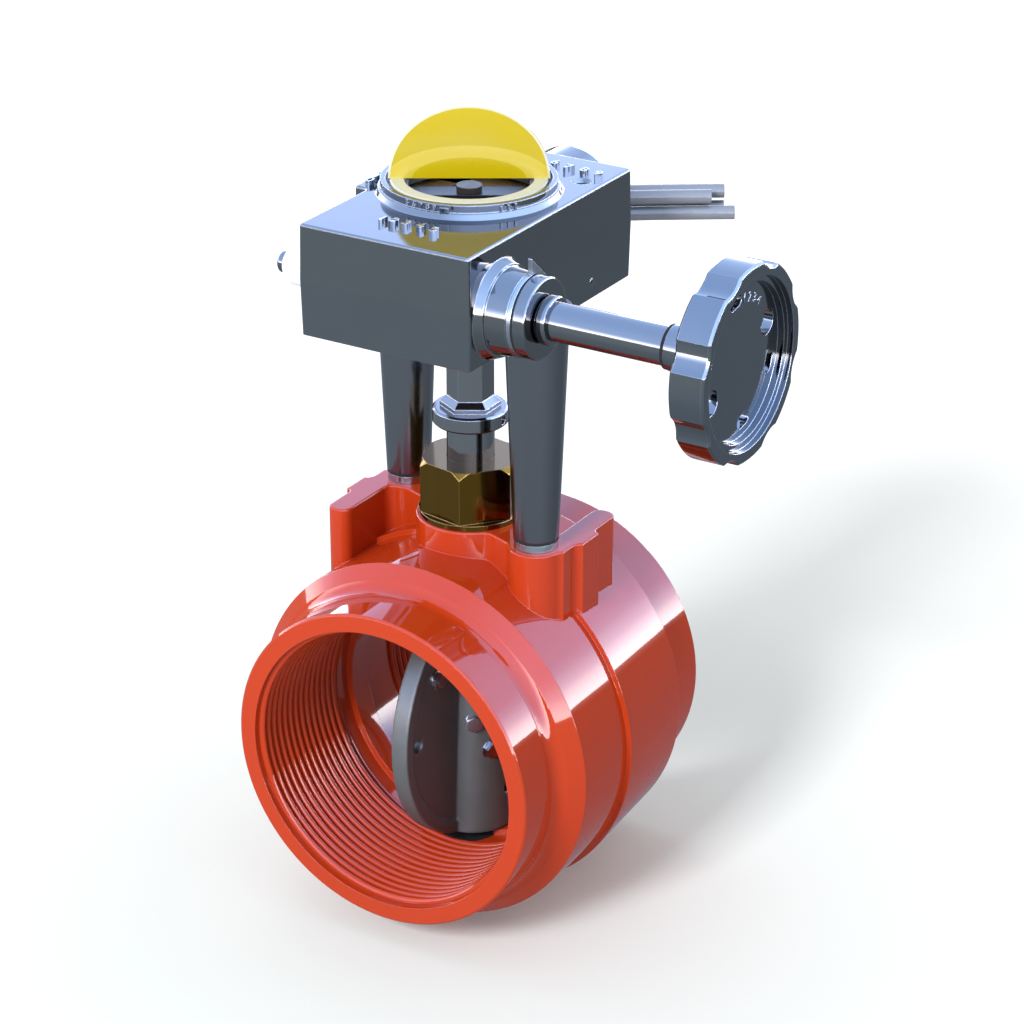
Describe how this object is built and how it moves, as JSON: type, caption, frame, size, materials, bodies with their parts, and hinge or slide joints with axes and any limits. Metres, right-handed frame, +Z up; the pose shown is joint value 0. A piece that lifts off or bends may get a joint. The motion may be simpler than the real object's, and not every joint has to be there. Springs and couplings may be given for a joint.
{
  "type": "gear operated threaded butterfly valve",
  "caption": "Threaded butterfly shut-off valve: orange body, disc on a vertical stem, worm gear housing on tapered posts, side handwheel, round position flag and switch leads.",
  "frame": {"origin": "centre of the inlet face on the bore axis", "axes": "+Y along the bore with the flow, +Z up along the stem, +X towards the handwheel"},
  "size_m": [0.1406, 0.1235, 0.2092],
  "materials": {
    "body_paint": "glossy enamel",
    "housing_metal": "polished casting",
    "cover_metal": "satin plate",
    "post_metal": "satin turned",
    "stud_metal": "bright turned",
    "black_rubber": "matt",
    "gland_brass": "polished",
    "bearing_bronze": "turned",
    "stem_steel": "bright turned",
    "coupling_steel": "bright",
    "pin_steel": "ground",
    "disc_iron": "coated",
    "wheel_bronze": "machined",
    "worm_steel": "ground",
    "shaft_steel": "polished",
    "plate_steel": "bright sheet",
    "white_nylon": "satin",
    "wheel_metal": "polished casting",
    "bracket_steel": "plated sheet",
    "cam_plastic": "satin",
    "switch_plastic": "satin",
    "plunger_plastic": "smooth",
    "bar_steel": "plated sheet",
    "screw_steel": "bright",
    "ring_plastic": "smooth",
    "flag_plastic": "translucent",
    "lead_cover": "smooth"
  },
  "bodies": {
    "valve": {"valve_body": "body_paint", "gear_housing": "housing_metal", "bottom_cover": "cover_metal", "support_post_right": "post_metal", "support_post_left": "post_metal", "post_stud_right": "stud_metal", "post_stud_left": "stud_metal", "post_gasket_right": "black_rubber", "post_gasket_left": "black_rubber", "stem_ring_low": "black_rubber", "stem_ring_high": "black_rubber", "lower_seal": "black_rubber", "cap_gasket": "black_rubber", "lead_gland": "black_rubber", "gland_nut": "gland_brass", "upper_bushing": "bearing_bronze", "lower_bushing": "bearing_bronze", "hub_bushing": "bearing_bronze", "worm_bush": "bearing_bronze", "spindle_bushing": "bearing_bronze", "stop_pin_open": "pin_steel", "stop_pin_closed": "pin_steel", "worm_cap": "housing_metal", "retainer_plate": "plate_steel", "end_plug": "white_nylon", "switch_bracket": "bracket_steel", "switch_open": "switch_plastic", "switch_closed": "switch_plastic", "lead_high_back": "lead_cover", "lead_high_front": "lead_cover", "lead_low_back": "lead_cover", "lead_low_front": "lead_cover"},
    "disc_drive": {"disc": "disc_iron", "disc_pin_high": "pin_steel", "disc_pin_low": "pin_steel", "stem": "stem_steel", "drive_coupling": "coupling_steel", "coupling_pin": "pin_steel", "worm_wheel": "wheel_bronze", "cam": "cam_plastic", "indicator_bar": "bar_steel", "indicator_screw": "screw_steel", "indicator_ring": "ring_plastic", "flag": "flag_plastic"},
    "handwheel_drive": {"worm_shaft": "shaft_steel", "worm": "worm_steel", "worm_pin": "pin_steel", "shaft_collar": "shaft_steel", "handwheel": "wheel_metal", "wheel_ring": "black_rubber", "wheel_pin": "pin_steel"},
    "plunger_open_body": {"plunger_open": "plunger_plastic"},
    "plunger_closed_body": {"plunger_closed": "plunger_plastic"}
  },
  "joints": [
    {"name": "stem_turn", "type": "hinge", "parent": "valve", "child": "disc_drive", "pos_m": [0, 0.0435, 0], "axis": [0, 0, 1], "range_deg": [-90, 0]},
    {"name": "handwheel_turn", "type": "hinge", "parent": "valve", "child": "handwheel_drive", "pos_m": [0, 0.0154, 0.1228], "axis": [1, 0, 0], "range_deg": [-3600, 0]},
    {"name": "plunger_open_press", "type": "slide", "parent": "valve", "child": "plunger_open_body", "axis": [-1, 0, 0], "range_m": [0, 0.001], "stiffness_N_per_m": 200},
    {"name": "plunger_closed_press", "type": "slide", "parent": "valve", "child": "plunger_closed_body", "axis": [0, 1, 0], "range_m": [0, 0.001], "stiffness_N_per_m": 200}
  ],
  "couplings": [
    {"joint": "handwheel_turn", "follows": "stem_turn", "ratio": 40}
  ]
}
